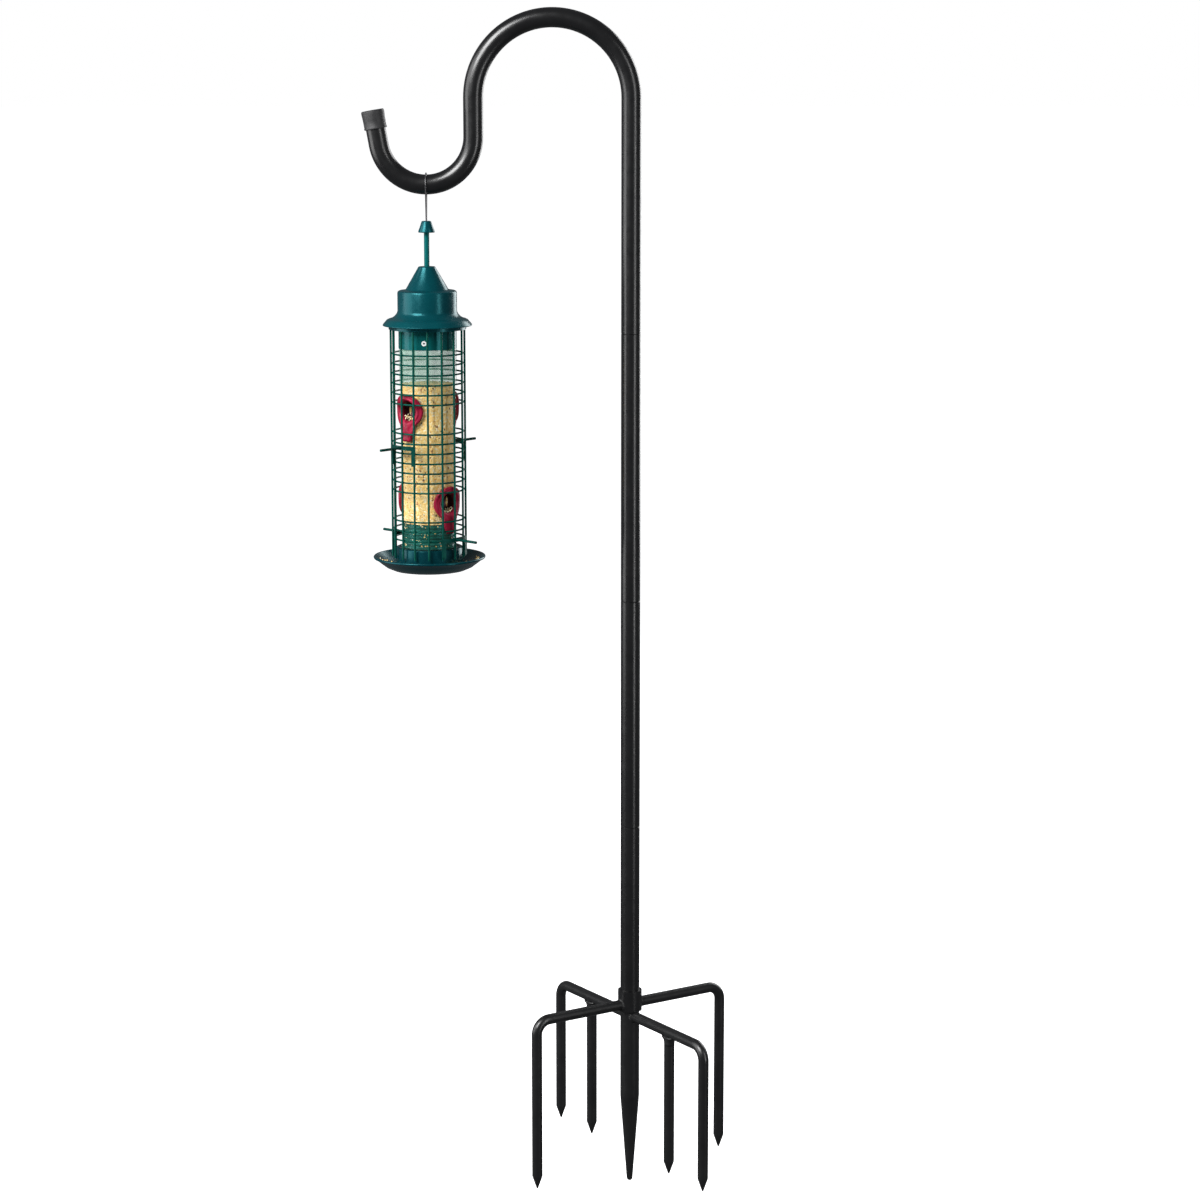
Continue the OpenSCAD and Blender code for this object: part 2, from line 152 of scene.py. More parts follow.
def pale_floor():
    """A wide pale disc just under the prongs, kept out of the object's light and reflections."""
    clearance = 0.002
    bm = bmesh.new()
    bmesh.ops.create_circle(bm, cap_ends=True, segments=96, radius=60)
    bmesh.ops.translate(bm, verts=bm.verts, vec=(0, 0, cad_box[0][2] - clearance))
    mesh = bpy.data.meshes.new("floor")
    bm.to_mesh(mesh)
    bm.free()
    floor = bpy.data.objects.new("floor", mesh)
    bpy.context.collection.objects.link(floor)
    paper = bpy.data.materials.new("floor_paper")
    paper.use_nodes = True
    shader = paper.node_tree.nodes["Principled BSDF"]
    shader.inputs["Base Color"].default_value = (0.92, 0.92, 0.92, 1)
    shader.inputs["Roughness"].default_value = 0.9
    shader.inputs["Specular IOR Level"].default_value = 0.1
    shader.inputs["Emission Color"].default_value = (1, 1, 1, 1)
    shader.inputs["Emission Strength"].default_value = 0.9
    mesh.materials.append(paper)
    floor.visible_diffuse = False
    floor.visible_glossy = False


bpy.context.scene.view_settings.view_transform = "Standard"
studio_camera()
pale_surroundings()
pale_floor()
soft_box("key_box", -80, 2.6, 1.1, 1.9, 2.4, 48)
soft_box("side_box", 48, 2.8, 0.9, 0.5, 2.6, 24)
soft_box("back_box", 142, 2.8, 1.2, 1.4, 2.2, 45)
soft_box("top_box", -42, 2.3, 2.3, 1.4, 1.4, 120)


# --- Finishes ------------------------------------------------------------------------------

def empty_finish(name):
    """A material with its Principled shader and its tree."""
    finish = bpy.data.materials.new(name)
    finish.use_nodes = True
    tree = finish.node_tree
    return finish, tree, tree.nodes["Principled BSDF"]


def add(tree, kind, values=None):
    """A node with some of its sockets set."""
    made = tree.nodes.new(kind)
    for socket, value in (values or {}).items():
        made.inputs[socket].default_value = value
    return made


def place(tree, centre=(0, 0, 0), stretch=(1, 1, 1)):
    """Object coordinates moved to a centre and stretched."""
    coords = add(tree, "ShaderNodeTexCoord")
    mapping = add(tree, "ShaderNodeMapping", {
        "Location": [-c * s for c, s in zip(centre, stretch)],
        "Scale": stretch,
    })
    tree.links.new(coords.outputs["Object"], mapping.inputs["Vector"])
    return mapping.outputs["Vector"]


def noise(tree, where, scale, detail=3.0, rough=0.55):
    """A cloudy pattern; a larger scale is a finer one."""
    made = add(tree, "ShaderNodeTexNoise", {"Scale": scale, "Detail": detail, "Roughness": rough})
    tree.links.new(where, made.inputs["Vector"])
    return made.outputs["Fac"]


def ramp(tree, fac, stops):
    """Colours along a value: stops are (position, (r, g, b))."""
    made = tree.nodes.new("ShaderNodeValToRGB")
    band = made.color_ramp
    while len(band.elements) < len(stops):
        band.elements.new(0.5)
    for element, (position, colour) in zip(band.elements, stops):
        element.position = position
        element.color = (*colour, 1)
    tree.links.new(fac, made.inputs["Fac"])
    return made.outputs["Color"]


def spread(tree, value, low, high, to_low, to_high):
    """A value's range stretched to another."""
    made = add(tree, "ShaderNodeMapRange", {
        "From Min": low, "From Max": high, "To Min": to_low, "To Max": to_high,
    })
    tree.links.new(value, made.inputs["Value"])
    return made.outputs["Result"]


def mixed(tree, fac, first, second, mode="MIX"):
    """Two colours mixed; each input is a socket or a plain value."""
    made = tree.nodes.new("ShaderNodeMix")
    made.data_type = "RGBA"
    made.blend_type = mode
    for value, socket in ((fac, made.inputs[0]), (first, made.inputs[6]), (second, made.inputs[7])):
        if isinstance(value, bpy.types.NodeSocket):
            tree.links.new(value, socket)
        elif isinstance(value, (int, float)):
            socket.default_value = value
        else:
            socket.default_value = (*value, 1)
    return made.outputs[2]


def bump(tree, shader, height, depth, under=None):
    """Raises the surface by a pattern, depth in millimetres, over another bump if there is one."""
    made = add(tree, "ShaderNodeBump", {"Strength": 1.0, "Distance": depth * MM})
    tree.links.new(height, made.inputs["Height"])
    if under is not None:
        tree.links.new(under, made.inputs["Normal"])
    tree.links.new(made.outputs["Normal"], shader.inputs["Normal"])
    return made.outputs["Normal"]


def coloured(tree, shader, pattern, dark, light, low=0.3, high=0.7):
    """Base colour from dark to light along a pattern."""
    tree.links.new(ramp(tree, pattern, [(low, dark), (high, light)]), shader.inputs["Base Color"])


def dulled(tree, shader, pattern, smooth, rough, low=0.3, high=0.7):
    """Roughness from smooth to rough along a pattern."""
    tree.links.new(spread(tree, pattern, low, high, smooth, rough), shader.inputs["Roughness"])


def glossed(shader, level, tint=(1, 1, 1)):
    """How strong the gloss is, and its tint."""
    shader.inputs["Specular IOR Level"].default_value = level
    shader.inputs["Specular Tint"].default_value = (*tint, 1)


def powder_coat(name, dark, light, sheen_low=0.25, sheen_high=0.33):
    """Baked powder paint on steel: a soft orange peel, with slightly duller patches."""
    finish, tree, shader = empty_finish(name)
    where = place(tree)
    coloured(tree, shader, noise(tree, where, 26, 4), dark, light)
    dulled(tree, shader, noise(tree, where, 90, 5), sheen_low, sheen_high)
    bump(tree, shader, noise(tree, where, 620, 2), 0.018)
    glossed(shader, 0.6)
    return finish


def moulded_green(name, deep, bright, streaks=0.0):
    """Glossy moulded plastic with a flow pattern, dusty gloss and upright streaks of a given depth."""
    finish, tree, shader = empty_finish(name)
    where = place(tree, FEEDER_AXIS)
    flow = noise(tree, place(tree, FEEDER_AXIS, (1, 1, 0.35)), 34, 4)
    coloured(tree, shader, flow, deep, bright, 0.32, 0.68)
    dulled(tree, shader, noise(tree, where, 210, 5, 0.7), 0.22, 0.34, 0.35, 0.75)
    skin = bump(tree, shader, noise(tree, where, 700, 2), 0.012)
    if streaks:
        lines = noise(tree, place(tree, FEEDER_AXIS, (1, 1, 0.02)), 260, 1)
        bump(tree, shader, lines, streaks, skin)
    glossed(shader, 0.5, (0.16, 0.75, 0.82))
    return finish


def wire_coating(name, deep, bright):
    """Thick dip coating on wire, pooled into soft beads."""
    finish, tree, shader = empty_finish(name)
    where = place(tree)
    coloured(tree, shader, noise(tree, where, 130, 3), deep, bright)
    dulled(tree, shader, noise(tree, where, 420, 4), 0.3, 0.44)
    bump(tree, shader, noise(tree, where, 520, 2), 0.03)
    glossed(shader, 0.25, (0.15, 0.8, 0.7))
    return finish


def crimson_plastic():
    """Glossy crimson, with painted shade: near black inside the throat, where the recess lies in shadow."""
    finish, tree, shader = empty_finish("crimson_port")
    from_axis = tree.nodes.new("ShaderNodeVectorMath")
    from_axis.operation = "LENGTH"
    tree.links.new(place(tree, FEEDER_AXIS, (1, 1, 0)), from_axis.inputs[0])
    # painted shade: 0 deep in the throat, rising to 1 on the port's outer face
    out_of_throat_shade = spread(tree, from_axis.outputs["Value"], 27 * MM, 33.6 * MM, 0, 1)
    where = place(tree)
    face_stops = [(0.3, (0.28, 0.008, 0.032)), (0.7, (0.36, 0.014, 0.048))]
    # painted shade: the throat's walls are coloured near black, standing in for the shadow deep in the port's
    # recess
    throat_shade_stops = [(0.3, (0.012, 0.002, 0.003)), (0.7, (0.035, 0.005, 0.007))]
    rim = ramp(tree, noise(tree, where, 70, 4), face_stops)
    throat = ramp(tree, noise(tree, where, 160, 4), throat_shade_stops)
    tree.links.new(mixed(tree, out_of_throat_shade, throat, rim), shader.inputs["Base Color"])
    dulled(tree, shader, noise(tree, where, 240, 5), 0.26, 0.42)
    bump(tree, shader, noise(tree, where, 800, 2), 0.012)
    glossed(shader, 0.35, (1, 0.5, 0.6))
    return finish


def clear_tube_plastic():
    """Clear green tube with fine drawing lines, clouded with seed dust where it stands empty."""
    finish, tree, shader = empty_finish("clear_tube")
    lines = noise(tree, place(tree, FEEDER_AXIS, (1, 1, 0.03)), 300, 2)
    haze = noise(tree, place(tree), 45, 4)
    coloured(tree, shader, haze, (0.2, 0.46, 0.34), (0.32, 0.56, 0.44))
    parted = tree.nodes.new("ShaderNodeSeparateXYZ")
    tree.links.new(place(tree), parted.inputs[0])
    dusty = spread(tree, parted.outputs["Z"], 736 * MM, 742 * MM, 0.04, 0.3)
    uneven = tree.nodes.new("ShaderNodeMath")
    uneven.operation = "MULTIPLY"
    tree.links.new(dusty, uneven.inputs[0])
    tree.links.new(spread(tree, haze, 0.3, 0.7, 0.8, 1.2), uneven.inputs[1])
    tree.links.new(uneven.outputs[0], shader.inputs["Alpha"])
    bump(tree, shader, lines, 0.03)
    shader.inputs["Roughness"].default_value = 0.12
    glossed(shader, 0.25)
    finish.surface_render_method = "BLENDED"
    return finish


def seed_mix(name, by_grain):
    """Husked seed: one tone to a grain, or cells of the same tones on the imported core."""
    finish, tree, shader = empty_finish(name)
    where = place(tree)
    tones = [
        (0.0, (0.14, 0.06, 0.02)), (0.03, (0.5, 0.22, 0.07)), (0.09, (1, 0.58, 0.15)),
        (0.45, (1, 0.68, 0.22)), (0.8, (1, 0.72, 0.32)), (1.0, (1, 0.88, 0.6)),
    ]
    if by_grain:
        pick = tree.nodes.new("ShaderNodeAttribute")
        pick.attribute_name = "tone"
        tone = pick.outputs["Fac"]
    else:
        cells = add(tree, "ShaderNodeTexVoronoi", {"Scale": 520})
        tree.links.new(where, cells.inputs["Vector"])
        split = tree.nodes.new("ShaderNodeSeparateColor")
        tree.links.new(cells.outputs["Color"], split.inputs[0])
        tone = split.outputs[0]
        bump(tree, shader, spread(tree, cells.outputs["Distance"], 0, 0.8, 1, 0), 0.6)
    colour = ramp(tree, tone, tones)
    husk = noise(tree, where, 1500, 3)
    mottle = ramp(tree, husk, [(0.3, (0.93, 0.9, 0.86)), (0.7, (1, 1, 1))])
    tree.links.new(mixed(tree, 0.5, colour, mottle, "MULTIPLY"), shader.inputs["Base Color"])
    dulled(tree, shader, husk, 0.45, 0.65)
    return finish


def plated(name, dark, light, metallic, rough):
    """Bright plating with drawn scratches."""
    finish, tree, shader = empty_finish(name)
    where = place(tree)
    coloured(tree, shader, noise(tree, where, 300, 4), dark, light)
    dulled(tree, shader, noise(tree, where, 900, 3), rough - 0.08, rough + 0.08)
    bump(tree, shader, noise(tree, where, 1400, 2), 0.03)
    shader.inputs["Metallic"].default_value = metallic
    return finish


def cap_rubber():
    """Moulded rubber with a fine pebbled skin."""
    finish, tree, shader = empty_finish("cap_rubber")
    where = place(tree)
    coloured(tree, shader, noise(tree, where, 60, 4), (0.011, 0.011, 0.012), (0.02, 0.02, 0.021))
    dulled(tree, shader, noise(tree, where, 300, 4), 0.45, 0.6)
    pebbles = add(tree, "ShaderNodeTexVoronoi", {"Scale": 1400})
    tree.links.new(where, pebbles.inputs["Vector"])
    bump(tree, shader, pebbles.outputs["Distance"], 0.08)
    return finish


pole_paint = powder_coat("pole_paint", (0.003, 0.003, 0.0035), (0.006, 0.006, 0.0065))
prong_paint = powder_coat("prong_paint", (0.004, 0.004, 0.0045), (0.009, 0.009, 0.0095), 0.28, 0.38)
weld_paint = powder_coat("weld_paint", (0.004, 0.004, 0.0045), (0.008, 0.008, 0.0085), 0.4, 0.55)
loop_paint = powder_coat("loop_paint", (0.02, 0.02, 0.022), (0.045, 0.045, 0.048), 0.3, 0.4)
rubber = cap_rubber()
lid_green = moulded_green("lid_green", (0.001, 0.031, 0.04), (0.001, 0.046, 0.055))
collar_green = moulded_green("collar_green", (0.001, 0.055, 0.055), (0.002, 0.09, 0.088), 0.1)
tray_green = moulded_green("tray_green", (0.001, 0.022, 0.03), (0.001, 0.033, 0.041))
base_green = moulded_green("base_green", (0.001, 0.064, 0.049), (0.002, 0.098, 0.075))
rod_green = wire_coating("rod_green", (0.001, 0.07, 0.072), (0.003, 0.1, 0.1))
cage_green = wire_coating("cage_green", (0.001, 0.04, 0.03), (0.003, 0.065, 0.047))
perch_green = wire_coating("perch_green", (0.001, 0.024, 0.02), (0.002, 0.045, 0.035))
crimson = crimson_plastic()
clear_tube = clear_tube_plastic()
seed_core = seed_mix("seed_core", False)
seed_grain = seed_mix("seed_grain", True)
eyelet_white = plated("eyelet_white", (0.72, 0.74, 0.74), (0.86, 0.87, 0.87), 0.1, 0.3)
spring_wire = plated("spring_wire", (0.42, 0.42, 0.44), (0.6, 0.6, 0.62), 1.0, 0.28)

# the CAD nodes that are shown as they are; a new piece below stands for each of the others
FINISH_OF_NODE = {
    pole_paint: ["lower_pole", "middle_pole", "upper_pole", "hook_pole", "hook_tip", "swivel_collar"],
    prong_paint: [
        "ground_spike", "tine_arm_front_right", "inner_tine_front_right", "tine_arm_back_left",
        "inner_tine_back_left", "tine_arm_front_left", "tine_arm_back_right",
    ],
    loop_paint: ["hanger_wire"],
    lid_green: ["shroud_ring", "shroud_bridge"],
    rod_green: ["hanger_rod"],
    collar_green: ["tube_collar", "spring_seat"],
    cage_green: ["cage_uprights", "cage_rings"],
    perch_green: ["perch_upper_front", "perch_upper_back", "perch_lower_front", "perch_lower_back"],
    clear_tube: ["seed_tube"],
    seed_core: ["seed_fill"],
    eyelet_white: ["collar_rivets"],
    spring_wire: ["return_spring"],
}
for finish, names in FINISH_OF_NODE.items():
    for name in names:
        for held in nodes[name].material_slots:
            held.material = finish


# --- Making pieces -------------------------------------------------------------------------

def add_piece(name, bm, finish, body, replaced=(), edge=0.0):
    """Turns a bmesh into a piece that rides on a body; edge is how far its corners are rounded."""
    for face in bm.faces:
        face.smooth = True
    mesh = bpy.data.meshes.new(name)
    bm.to_mesh(mesh)
    bm.free()
    mesh.materials.append(finish)
    piece = bpy.data.objects.new(name, mesh)
    bpy.context.collection.objects.link(piece)
    if edge:
        rounding = piece.modifiers.new("rounding", "BEVEL")
        rounding.width = edge * MM
        rounding.segments = 3
        rounding.limit_method = "ANGLE"
        rounding.angle_limit = math.radians(28)
        rounding.harden_normals = True
    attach(piece, body)
    if replaced:
        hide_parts(*replaced)
    return piece


def spun(bm, parts, axis, steps, join=0.001):
    """Spins parts of a bmesh full circle about an axis and closes the skin."""
    bmesh.ops.spin(
        bm, geom=parts, axis=axis, cent=(0, 0, 0), dvec=(0, 0, 0),
        angle=math.tau, steps=steps, use_merge=True, use_duplicate=False,
    )
    bmesh.ops.remove_doubles(bm, verts=bm.verts, dist=join * MM)
    bmesh.ops.recalc_face_normals(bm, faces=bm.faces)


def closed_run(bm, corners):
    """A closed outline through corners given in millimetres, as its points and edges."""
    points = [bm.verts.new([part * MM for part in corner]) for corner in corners]
    return points + [bm.edges.new(pair) for pair in zip(points, points[1:] + points[:1])]


def turned(profile, steps):
    """A closed run of (radius, height) points, spun about the upright axis."""
    bm = bmesh.new()
    spun(bm, closed_run(bm, [(r, 0, z) for r, z in profile]), (0, 0, 1), steps)
    return bm


def to_feeder(bm):
    """Moves a shape made about the origin to the feeder's axis."""
    bmesh.ops.translate(bm, verts=bm.verts, vec=FEEDER_AXIS)


def heading(turn):
    """Turns a shape made along +X to a heading and moves it to the feeder's axis."""
    return Matrix.Translation(FEEDER_AXIS) @ Matrix.Rotation(math.radians(turn - 90), 4, "Z")


def around(a, r, z):
    """The point at a heading in radians, a radius and a height about the feeder's axis."""
    return Vector((FEEDER_X + r * MM * math.sin(a), -r * MM * math.cos(a), z * MM))


def smooth_step(value, low, high):
    """Rises smoothly from 0 at low to 1 at high."""
    t = min(max((value - low) / (high - low), 0), 1)
    return t * t * (3 - 2 * t)


# --- Lid, bell and end cap -----------------------------------------------------------------

def make_lid():
    """The cone, drum and flange in one moulding, with shallow flutes round the cone."""
    flutes, flute_depth = 12, 0.016
    skin_r, cone_foot, cone_top = 9.5, 844, 868.5
    bm = turned([
        (3.4, 868.7), (8.8, 868.7), (9.6, 868.2), (10, 867.4), (23.4, 844.2), (24.2, 843.2), (25.6, 842.7),
        (31, 842.2), (32.5, 841.4), (33.1, 839.8), (33.1, 820), (33.5, 818.2), (34.6, 816.1), (37.2, 813.4),
        (40.3, 811.6), (43, 810.9), (45.2, 809.9), (46.6, 808.2), (48.4, 806.2), (49.8, 804.3), (49.5, 803.3),
        (43.8, 803.3), (43.8, 808), (34, 808), (34, 803.3), (31.2, 803.3), (31.2, 838.5), (22, 840.2),
        (8, 864), (3.4, 864),
    ], 144)
    for v in bm.verts:
        r, z = math.hypot(v.co.x, v.co.y) / MM, v.co.z / MM
        if r > skin_r and z > cone_foot - 0.5:
            on_cone = smooth_step(z, cone_foot, cone_foot + 3) * (1 - smooth_step(z, cone_top - 1, cone_top))
            wave = 0.5 - 0.5 * math.cos(flutes * math.atan2(v.co.y, v.co.x))
            v.co.x *= 1 - flute_depth * on_cone * wave
            v.co.y *= 1 - flute_depth * on_cone * wave
    to_feeder(bm)
    return add_piece("lid_cone", bm, lid_green, "lid", ["lid"], 0.35)


def make_bell():
    """The small bell that stops the wire at the top of the rod."""
    bm = turned([
        (3.05, 906.2), (8.9, 906.2), (9.3, 906.6), (9.2, 907.6), (7.3, 912.6), (5.6, 917.9), (5.1, 918.7),
        (4.6, 918.9), (4.4, 918.5), (4.4, 908.2), (3.05, 908.2),
    ], 64)
    to_feeder(bm)
    return add_piece("top_bell", bm, lid_green, "feeder", ["hanger_bell"], 0.25)


def make_end_cap():
    """The rubber cap on the hook's tip: a little wider at its closed end, with a lip at its mouth."""
    lean, bend_r, bend_height = math.radians(10), 52.5, 1011.4
    straight, past_tip, cap_length = 36, 2.5, 21
    bm = turned([
        (11, 0), (12.2, 0), (12.7, 0.6), (12.7, 1.8), (12.3, 2.6), (12.4, 10), (12.8, 18.4), (12.6, 19.9),
        (11.8, 20.8), (6, 21), (0.01, 21), (0.01, 19.5), (11, 19.5),
    ], 64)
    middle = Vector((FEEDER_X, 0, bend_height * MM))
    tip = middle + bend_r * MM * Vector((-math.cos(lean), 0, -math.sin(lean)))
    mouth = Matrix.Translation((0, 0, (straight + past_tip - cap_length) * MM))
    move = Matrix.Translation(tip) @ Matrix.Rotation(-lean, 4, "Y") @ mouth
    bmesh.ops.transform(bm, matrix=move, verts=bm.verts)
    return add_piece("tip_cap", bm, rubber, "pole", ["hook_end_cap"], 0.4)


make_lid()
make_bell()
make_end_cap()


# --- Tube base and tray --------------------------------------------------------------------

def make_tube_base():
    """The threaded plug under the seed, seen through the tube."""
    crest, root, foot, top, pitch, threads = 29.8, 28.6, 555, 582.9, 3.8, 7
    profile = [(0.01, foot), (crest, foot)]
    for i in range(threads):
        z = foot + 1 + pitch * i
        profile += [(crest, z), (crest, z + 1.5), (root, z + 2.1), (root, z + 3.2)]
    profile += [(crest, top), (0.01, top)]
    bm = turned(profile, 96)
    to_feeder(bm)
    return add_piece("threaded_base", bm, base_green, "feeder", ["tube_base"], 0.2)


def make_tray():
    """The catch tray with a rolled lip and the raised hub that the tube stands on."""
    bm = turned([
        (6, 528.5), (39.4, 528.5), (41.5, 528.9), (49, 532.2), (55.6, 537.2), (59.4, 540.4), (60.8, 541.2),
        (62.2, 541.6), (63, 542.5), (63, 543.6), (62.5, 544.3), (61.8, 544.5), (60.9, 544.3), (60, 543.5),
        (54.6, 539), (48, 534.2), (43.4, 531.2), (41, 530.5), (38.6, 530.7), (37.6, 531.6), (37.5, 552.8),
        (37.1, 554.3), (36, 554.8), (33.2, 554.8), (33.2, 553.8), (0.01, 553.8), (0.01, 552.8), (35.5, 552.8),
        (35.5, 530.5), (6, 530.5),
    ], 160)
    to_feeder(bm)
    return add_piece("catch_tray", bm, tray_green, "feeder", ["seed_tray"], 0.3)


make_tube_base()
make_tray()


# --- Feeding ports -------------------------------------------------------------------------

# radius and height above the tube's wall, from the throat's floor out over the rim and back
PORT_PROFILE = [
    (0.01, -12), (10.6, -12), (10.8, -3), (11, -0.4), (11.6, 1.2), (13, 2.5), (14.2, 3.1), (15, 2.9),
    (15.7, 2.4), (16.5, 2.7), (17.6, 3.1), (18.5, 2.7), (PORT_R, 1.6), (PORT_R, 0.05),
    (12.3, 0.05), (12.3, -12.6), (0.01, -12.6),
]


def port_reach(side, up):
    """How far the port's outline reaches in a direction: round, with a tapered tongue below."""
    if up >= 0:
        return PORT_R
    to_side = TONGUE_HALF / (abs(side) - TONGUE_TAPER * up)
    return max(PORT_R, min(to_side, TONGUE_DROP / -up))


def make_port(name):
    """A port spun flat, drawn out to its tongue and hood, then bowed round the tube."""
    throat_depth, bow_r, hood_height = 1, 32.4, 2.1
    turn, level = PORTS[name]
    bm = bmesh.new()
    spun(bm, closed_run(bm, [(h, 0, r) for r, h in PORT_PROFILE]), (1, 0, 0), 120, 0.02)
    for v in bm.verts:
        lift, side, up = (part / MM for part in v.co)
        r = math.hypot(side, up)
        if r > 0.1:
            s, u = side / r, up / r
            grown = r + (port_reach(s, u) - PORT_R) * smooth_step(r, 12.6, 18.8)
            side, up = grown * s, grown * u
            on_rim = smooth_step(r, 11.4, 14) * smooth_step(lift, 0.3, 1.6)
            lift += hood_height * max(0, u) ** 1.5 * on_rim
        bow = math.asin(max(-1, min(1, side / bow_r)))
        if lift < -throat_depth:
            v.co = (TUBE_R * math.cos(bow) + lift * MM, side * MM, up * MM)
        else:
            shell = TUBE_R + lift * MM
            v.co = (shell * math.cos(bow), shell * math.sin(bow), up * MM)
    bmesh.ops.translate(bm, verts=bm.verts, vec=(0, 0, level * MM))
    bmesh.ops.transform(bm, matrix=heading(turn), verts=bm.verts)
    funnel = name.replace("port", "funnel")
    return add_piece(funnel, bm, crimson, "feeder", [name])


for port_name in PORTS:
    make_port(port_name)


# --- Seed ----------------------------------------------------------------------------------

def grain_mesh():
    """One grain, a few faces only, with room for its tone."""
    bm = bmesh.new()
    bmesh.ops.create_icosphere(bm, subdivisions=1, radius=1)
    for face in bm.faces:
        face.smooth = True
    mesh = bpy.data.meshes.new("grain")
    bm.to_mesh(mesh)
    bm.free()
    mesh.attributes.new("tone", "FLOAT", "POINT")
    return mesh


def scatter(name, spots, chance, paler=0.0):
    """One piece of many grains; each spot is (place in metres, outward turn about Z)."""
    grain = grain_mesh()
    home = [v.co.copy() for v in grain.vertices]
    bm = bmesh.new()
    for spot, turn in spots:
        long, wide, flat = chance.uniform(1, 1.45), chance.uniform(0.75, 1), chance.uniform(0.45, 0.7)
        roll, tilt = chance.uniform(0, math.tau), chance.uniform(-0.25, 0.25)
        spin = Euler((roll, 0, turn + tilt)).to_matrix().to_4x4()
        size = Matrix.Diagonal((flat * MM, long * MM, wide * MM, 1))
        move = Matrix.Translation(spot) @ spin @ size
        for v, co in zip(grain.vertices, home):
            v.co = move @ co
        tone = min(1, chance.random() + paler)
        for value in grain.attributes["tone"].data:
            value.value = tone
        bm.from_mesh(grain)
    bpy.data.meshes.remove(grain)
    return add_piece(name, bm, seed_grain, "feeder")


def near_port(turn, z):
    """Whether a spot on the tube's wall is inside a port's throat."""
    wall_r, clear = 30, 13.8
    for port_turn, level in PORTS.values():
        away = math.radians((turn - port_turn + 180) % 360 - 180)
        if math.hypot(wall_r * away, z - level) < clear:
            return True
    return False


def tube_spots(count, chance):
    """Grains pressed against the tube's wall, outside the throats."""
    spots = []
    while len(spots) < count:
        turn, z = chance.uniform(0, 360), chance.uniform(SEED_FOOT, SEED_TOP)
        if near_port(turn, z):
            continue
        a = math.radians(turn)
        spots.append((around(a, chance.uniform(GRAIN_CIRCLE - 0.6, GRAIN_CIRCLE), z), a - math.pi / 2))
    return spots


def top_spots(count, chance):
    """Grains lying loose on the seed's top."""
    heap_r, loose = 28.6, 0.7
    spots = []
    for _ in range(count):
        a, r = chance.uniform(0, math.tau), heap_r * math.sqrt(chance.uniform(0.02, 1))
        spots.append((around(a, r, chance.uniform(SEED_TOP, SEED_TOP + loose)), a))
    return spots


def throat_spots(chance):
    """A little heap at the foot of every throat."""
    throat_r, mouth, run, grains = 10.6, 34, 11, 30
    spots = []
    for turn, level in PORTS.values():
        for _ in range(grains):
            x, y = chance.uniform(21.5, 31), chance.uniform(-8.2, 8.2)
            foot = -math.sqrt(throat_r ** 2 - y ** 2)
            z = foot + chance.uniform(0.8, 2.6) * (mouth - x) / run + 0.3
            spot = heading(turn) @ Vector((x * MM, y * MM, (level + z) * MM))
            spots.append((spot, chance.uniform(0, math.tau)))
    return spots


def under_wire(a, r):
    """Whether a spot in the tray is where the foot of a cage wire comes down; a is in radians."""
    room = 4.4
    step = math.radians(WIRE_STEP)
    off = (a - math.radians(FRONT_WIRE) + step / 2) % step - step / 2
    return math.hypot(r * math.cos(off) - WIRE_CIRCLE, r * math.sin(off)) < room


def tray_spots(chance):
    """Spilled seed: a drift on the right of the tray and a few grains on the left and in front."""
    floor_height, flat_r, slope = 531.4, 43.4, 0.75
    drifts = ((62, 24, 120), (-78, 12, 16), (10, 40, 14), (200, 90, 40))
    spots = []
    for middle, spread_by, count in drifts:
        for _ in range(count):
            a = math.radians(chance.gauss(middle, spread_by))
            r = chance.uniform(40.5, 56)
            if under_wire(a, r):
                continue
            z = floor_height + slope * max(0, r - flat_r) + chance.uniform(0, 0.9)
            spots.append((around(a, r, z), chance.uniform(0, math.tau)))
    return spots


def base_spots(chance):
    """Grains that have slipped down between the plug and the tube."""
    grains, foot, rise = 70, 556.5, 26
    spots = []
    for _ in range(grains):
        a = math.radians(chance.gauss(20, 70))
        z = foot + rise * chance.random() ** 1.4
        spots.append((around(a, GRAIN_CIRCLE, z), a - math.pi / 2))
    return spots


chance = random.Random(7)
scatter("tube_grains", tube_spots(5200, chance) + top_spots(420, chance), chance)
scatter("throat_grains", throat_spots(chance), chance, 0.6)
scatter("tray_grains", tray_spots(chance), chance, 0.35)
scatter("base_grains", base_spots(chance), chance, 0.3)


# --- Welds ---------------------------------------------------------------------------------

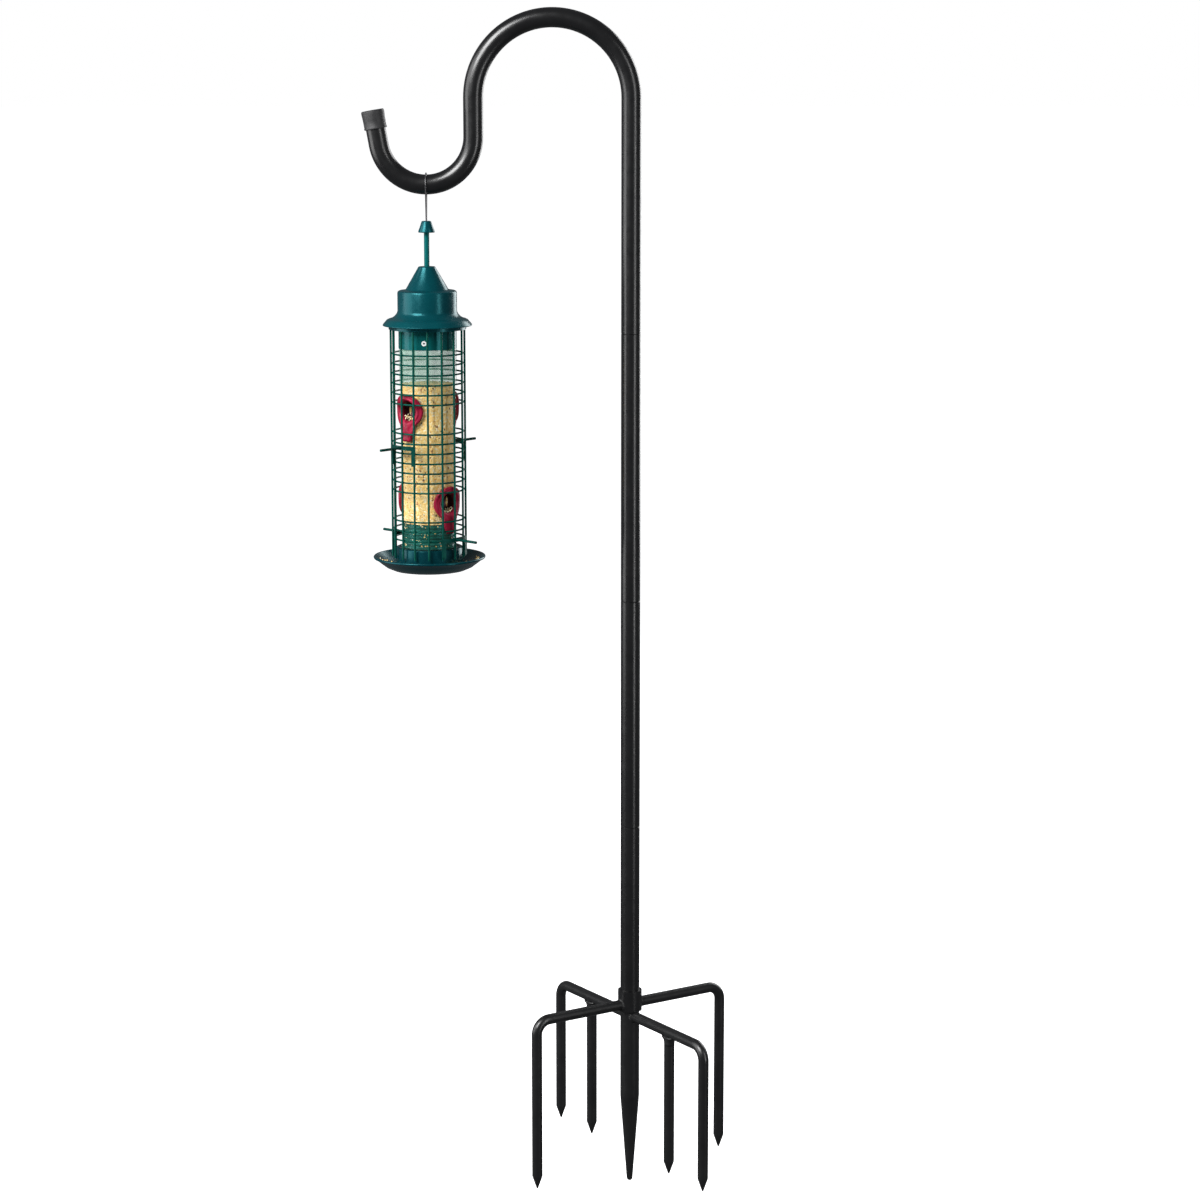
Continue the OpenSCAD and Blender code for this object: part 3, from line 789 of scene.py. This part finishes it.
def weld_ring(radius, thick, seed):
    """A bead of overlapping ripples round +X, of a radius and a thickness."""
    bm = bmesh.new()
    made = bmesh.ops.create_circle(bm, segments=10, radius=thick * MM)
    bmesh.ops.rotate(bm, verts=bm.verts, cent=(0, 0, 0), matrix=Matrix.Rotation(math.pi / 2, 3, "X"))
    bmesh.ops.translate(bm, verts=bm.verts, vec=(0, 0, radius * MM))
    spun(bm, made["verts"] + list(bm.edges), (1, 0, 0), 96)
    chance = random.Random(seed)
    phase = chance.uniform(0, math.tau)
    for v in bm.verts:
        a = math.atan2(v.co.y, v.co.z)
        swell = 1 + 0.2 * math.sin(22 * a + phase) + 0.08 * math.sin(5 * a + 2 * phase)
        middle = Vector((0, math.sin(a), math.cos(a))) * radius * MM
        v.co = middle + (v.co - middle) * swell
    return bm


def bar_root_weld(name, turn, level, root, body):
    """The bead where a bar meets the round face of its sleeve, whose radius is root."""
    bar_r, bead = 6.1, 1.1
    bm = weld_ring(bar_r, bead, turn + level)
    for v in bm.verts:
        v.co.x += math.sqrt(root ** 2 - min(abs(v.co.y) / MM, root * 0.9) ** 2) * MM
    move = Matrix.Translation((0, 0, level * MM)) @ Matrix.Rotation(math.radians(turn), 4, "Z")
    bmesh.ops.transform(bm, matrix=move, verts=bm.verts)
    return add_piece(name, bm, weld_paint, body)


def tee_fillet(name, turn, reach):
    """The smooth fillet where an inner prong meets its bar, swept out along the bar."""
    prong_r, skin = 6, 6.02
    bm = turned([
        (5.6, -9), (skin, -9), (6.1, -6.5), (6.5, -4.2), (7.4, -2.2), (8.8, -0.8), (10.6, 0.1),
        (10.6, 1.6), (5.6, 1.6),
    ], 72)
    for v in bm.verts:
        r = math.hypot(v.co.x, v.co.y) / MM
        along = abs(v.co.x) / MM / r
        if r > prong_r:
            pulled = skin + (r - skin) * along ** 1.6
            v.co.x *= pulled / r
            v.co.y *= pulled / r
    move = Matrix.Rotation(math.radians(turn), 4, "Z") @ Matrix.Translation((reach * MM, 0, 0))
    bmesh.ops.transform(bm, matrix=move, verts=bm.verts)
    return add_piece(name, bm, weld_paint, "pole")


# height of each pair of bars, and radius of what they are welded to
LOWER_BARS = (6, 11)
UPPER_BARS = (19.6, 13.8)
bar_root_weld("weld_front_right", UPPER_TURN - 90, *LOWER_BARS, "pole")
bar_root_weld("weld_back_left", UPPER_TURN + 90, *LOWER_BARS, "pole")
bar_root_weld("weld_back_right", UPPER_TURN, *UPPER_BARS, "upper_fork")
bar_root_weld("weld_front_left", UPPER_TURN + 180, *UPPER_BARS, "upper_fork")
tee_fillet("fillet_inner_right", UPPER_TURN - 90, INNER_PRONG)
tee_fillet("fillet_inner_left", UPPER_TURN + 90, INNER_PRONG)
